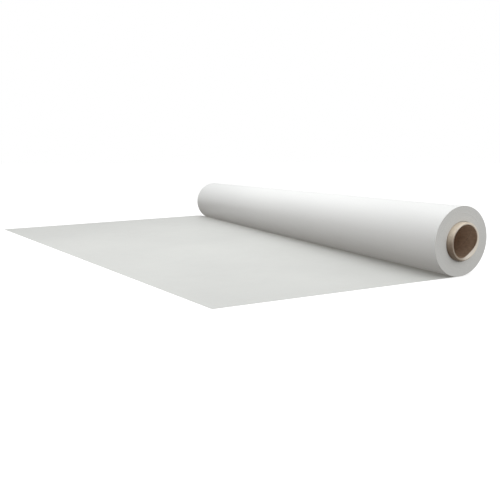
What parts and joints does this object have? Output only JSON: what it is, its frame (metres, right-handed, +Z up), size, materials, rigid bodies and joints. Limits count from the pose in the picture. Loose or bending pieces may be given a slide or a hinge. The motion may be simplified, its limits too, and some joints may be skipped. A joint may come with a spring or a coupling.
{
  "type": "roll of sign vinyl",
  "caption": "Wide roll of white self-adhesive sign vinyl on a paperboard core, with a run of the web laid out flat and the roll free to wind it up or pay it out.",
  "frame": {"origin": "middle of the base of the bounding box, on the surface that the roll and the laid web lie on", "axes": "+Y along the roll's axis, away from the end that is seen; +Z up; the web is laid out towards -X"},
  "size_m": [0.9279, 1.396, 0.156],
  "materials": {
    "face_film": "white calendered vinyl, satin gloss",
    "release_liner": "pale clay-coated paper, matt with a faint silicone sheen",
    "adhesive": "clear pressure-sensitive acrylic, slightly milky",
    "wound_edge": "slit edge of the wound web, matt, fine rings",
    "tape": "cream paper tape",
    "core_liner": "brown recycled paperboard, matt",
    "core_board": "grey-brown paperboard plies, matt cut edge",
    "core_cover": "light kraft paper ply, smooth and slightly shiny"
  },
  "bodies": {
    "laid_web": {"laid_film": "face_film", "laid_adhesive": "adhesive", "laid_liner": "release_liner"},
    "nip": {"nip_film": "face_film", "nip_adhesive": "adhesive", "nip_liner": "release_liner"},
    "roll": {"wound_web": "wound_edge", "last_turn_liner": "release_liner", "last_turn_adhesive": "adhesive", "last_turn_film": "face_film", "start_tape": "tape", "core_cover_ply": "core_cover", "core_body_plies": "core_board", "core_liner_ply": "core_liner"}
  },
  "joints": [
    {"name": "roll_travel", "type": "slide", "parent": "laid_web", "child": "nip", "axis": [1, 0, 0], "range_m": [-0.35, 0.35], "deforming": ["laid_film", "laid_adhesive", "laid_liner"]},
    {"name": "roll_turn", "type": "hinge", "parent": "nip", "child": "roll", "pos_m": [0.386, 0, 0.078], "axis": [0, 1, 0], "range_deg": [-260, 260], "deforming": ["last_turn_film", "last_turn_adhesive", "last_turn_liner"]}
  ],
  "couplings": [
    {"joint": "roll_turn", "follows": "roll_travel", "rad_per_m": 12.821}
  ]
}
